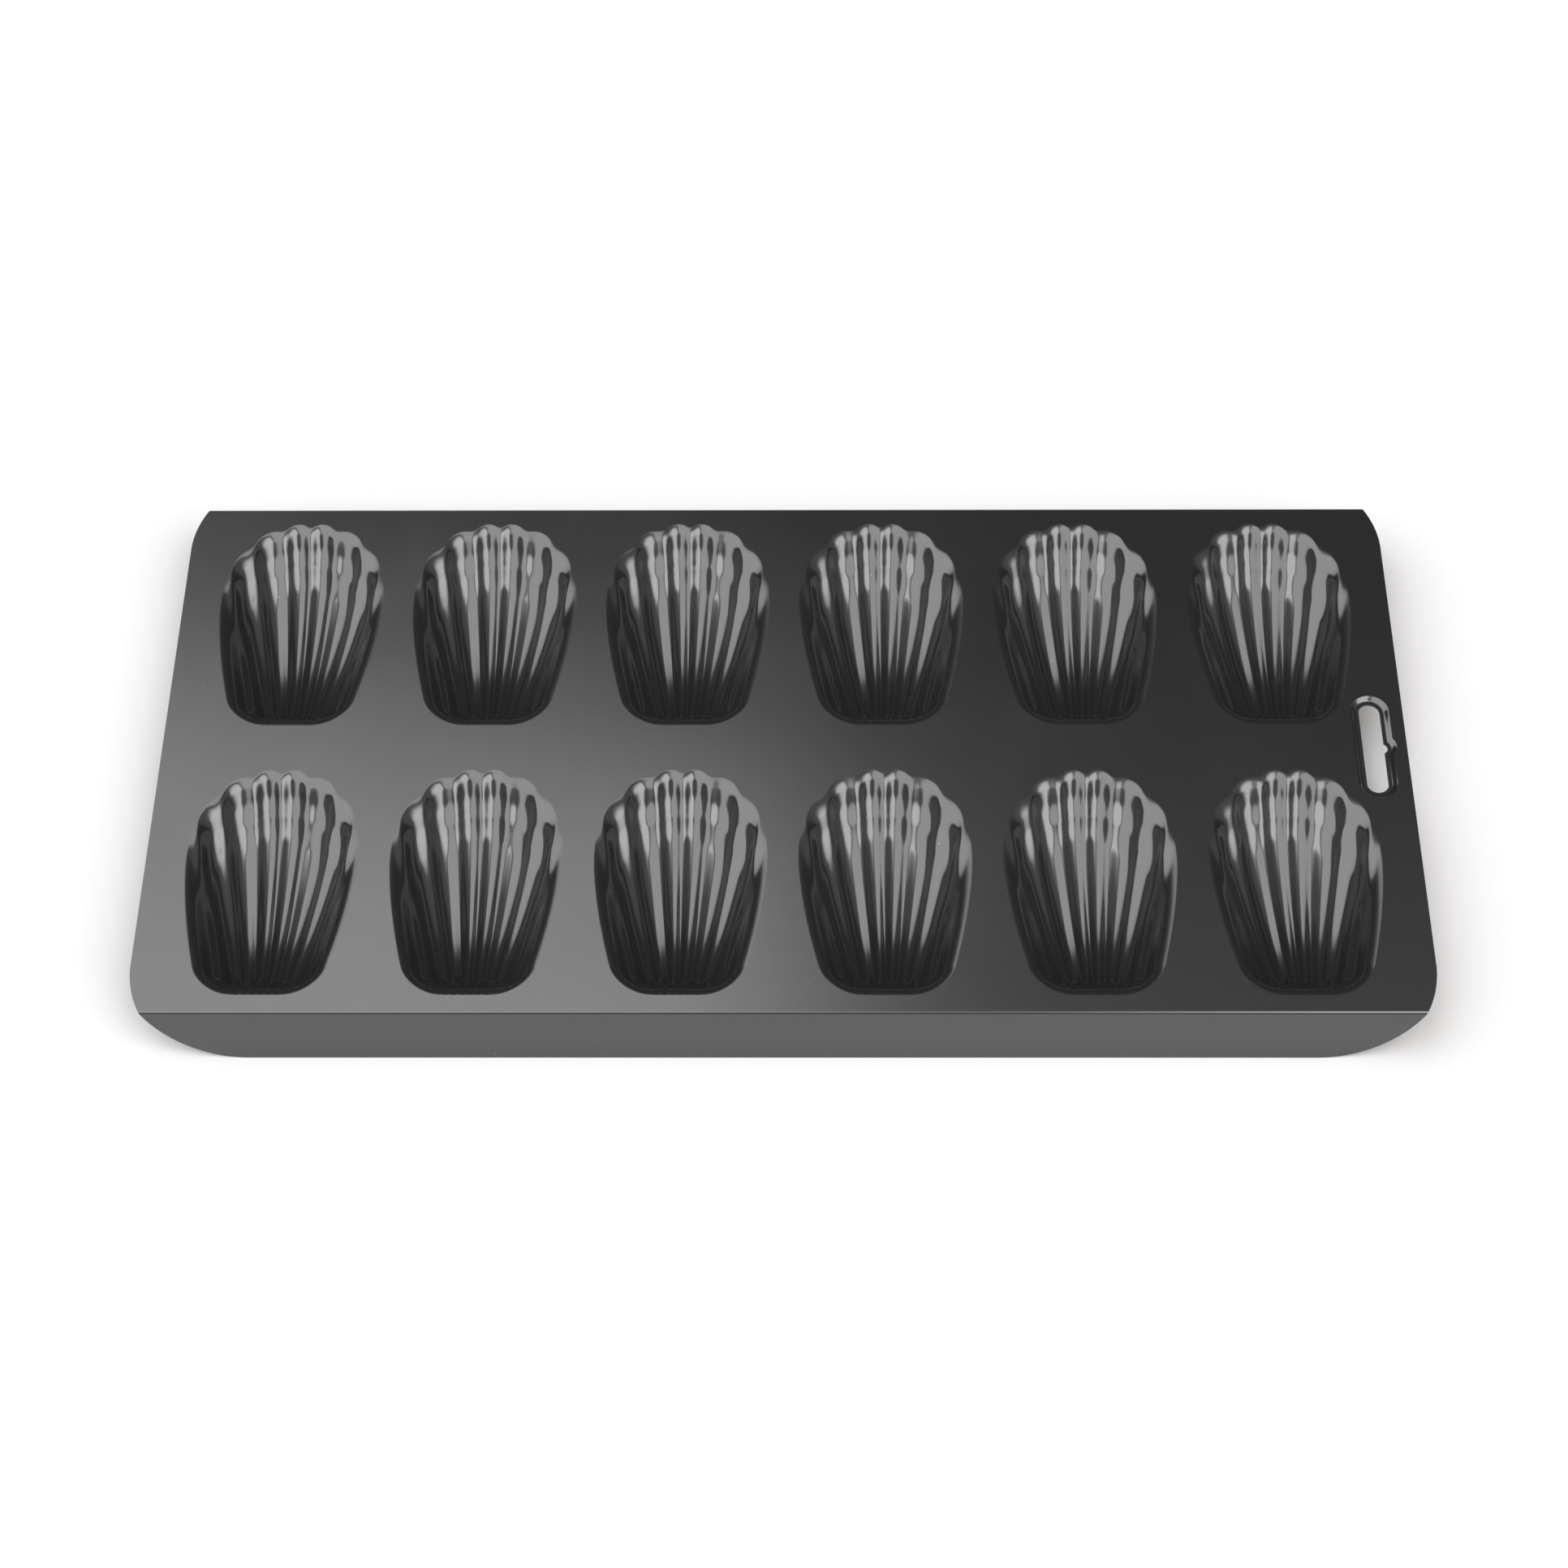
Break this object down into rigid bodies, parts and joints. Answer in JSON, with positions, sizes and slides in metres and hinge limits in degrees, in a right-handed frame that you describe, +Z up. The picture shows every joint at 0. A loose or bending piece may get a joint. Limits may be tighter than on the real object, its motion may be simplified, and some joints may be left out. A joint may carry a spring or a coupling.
{
  "type": "madeleine pan",
  "caption": "Pressed steel shell cake pan: level deck with fluted scallop cups in two rows, folded long skirts it stands on, and a dished hang slot at one end.",
  "frame": {"origin": "centre of the pan's footprint on the table, under the middle of the deck", "axes": "+X along the pan towards the end with the hang slot, +Y towards the cups' fan ends, +Z up"},
  "size_m": [0.395, 0.2078, 0.0184],
  "materials": {
    "coated_steel": "dark charcoal semi-gloss non-stick coating with a fine metallic speckle"
  },
  "bodies": {
    "root": {"deck": "coated_steel", "front_skirt": "coated_steel", "rear_skirt": "coated_steel", "hang_slot_rim": "coated_steel", "cup_front_1": "coated_steel", "cup_front_2": "coated_steel", "cup_front_3": "coated_steel", "cup_front_4": "coated_steel", "cup_front_5": "coated_steel", "cup_front_6": "coated_steel", "cup_rear_1": "coated_steel", "cup_rear_2": "coated_steel", "cup_rear_3": "coated_steel", "cup_rear_4": "coated_steel", "cup_rear_5": "coated_steel", "cup_rear_6": "coated_steel"}
  },
  "joints": []
}
